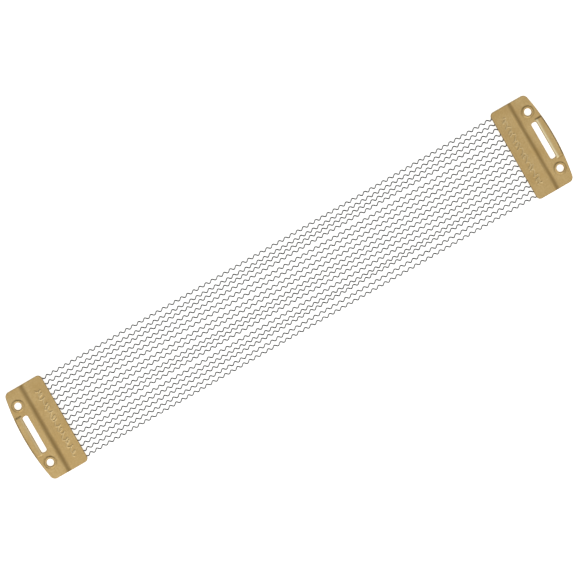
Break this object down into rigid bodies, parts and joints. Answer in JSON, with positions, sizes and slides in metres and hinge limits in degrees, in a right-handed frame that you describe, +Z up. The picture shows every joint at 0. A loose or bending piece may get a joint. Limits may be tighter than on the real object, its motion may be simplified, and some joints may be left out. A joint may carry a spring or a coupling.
{
  "type": "snare wires",
  "caption": "Snare wires for a snare drum: parallel coiled steel strands soldered under a stamped brass-finish end plate at each end.",
  "frame": {"origin": "on the supporting surface, under the middle of the set", "axes": "+X along the strands towards the right end plate, +Y across the strands, +Z up from the surface the coils lie on"},
  "size_m": [0.33, 0.0536, 0.0028],
  "materials": {
    "brass_plate": "satin, stamped, brass-plated sheet",
    "spring_steel": "drawn wire, dull bright",
    "solder": "dull cast solder"
  },
  "bodies": {
    "left_end": {"left_end_plate": "brass_plate", "left_solder_seam": "solder"},
    "strands": {"strand_01": "spring_steel", "strand_02": "spring_steel", "strand_03": "spring_steel", "strand_04": "spring_steel", "strand_05": "spring_steel", "strand_06": "spring_steel", "strand_07": "spring_steel", "strand_08": "spring_steel", "strand_09": "spring_steel", "strand_10": "spring_steel", "strand_11": "spring_steel", "strand_12": "spring_steel", "strand_13": "spring_steel", "strand_14": "spring_steel", "strand_15": "spring_steel", "strand_16": "spring_steel"},
    "right_end": {"right_end_plate": "brass_plate", "right_solder_seam": "solder"}
  },
  "joints": [
    {"name": "snare_stretch", "type": "slide", "parent": "left_end", "child": "strands", "axis": [1, 0, 0], "range_m": [0, 0.004], "stiffness_N_per_m": 40000, "deforming": ["strand_01", "strand_02", "strand_03", "strand_04", "strand_05", "strand_06", "strand_07", "strand_08", "strand_09", "strand_10", "strand_11", "strand_12", "strand_13", "strand_14", "strand_15", "strand_16"]},
    {"name": "plate_tilt", "type": "hinge", "parent": "strands", "child": "right_end", "pos_m": [0.13, 0, 0.00093], "axis": [0, -1, 0], "range_deg": [0, 20], "stiffness_Nm_per_rad": 0.4, "deforming": ["strand_01", "strand_02", "strand_03", "strand_04", "strand_05", "strand_06", "strand_07", "strand_08", "strand_09", "strand_10", "strand_11", "strand_12", "strand_13", "strand_14", "strand_15", "strand_16"]}
  ]
}
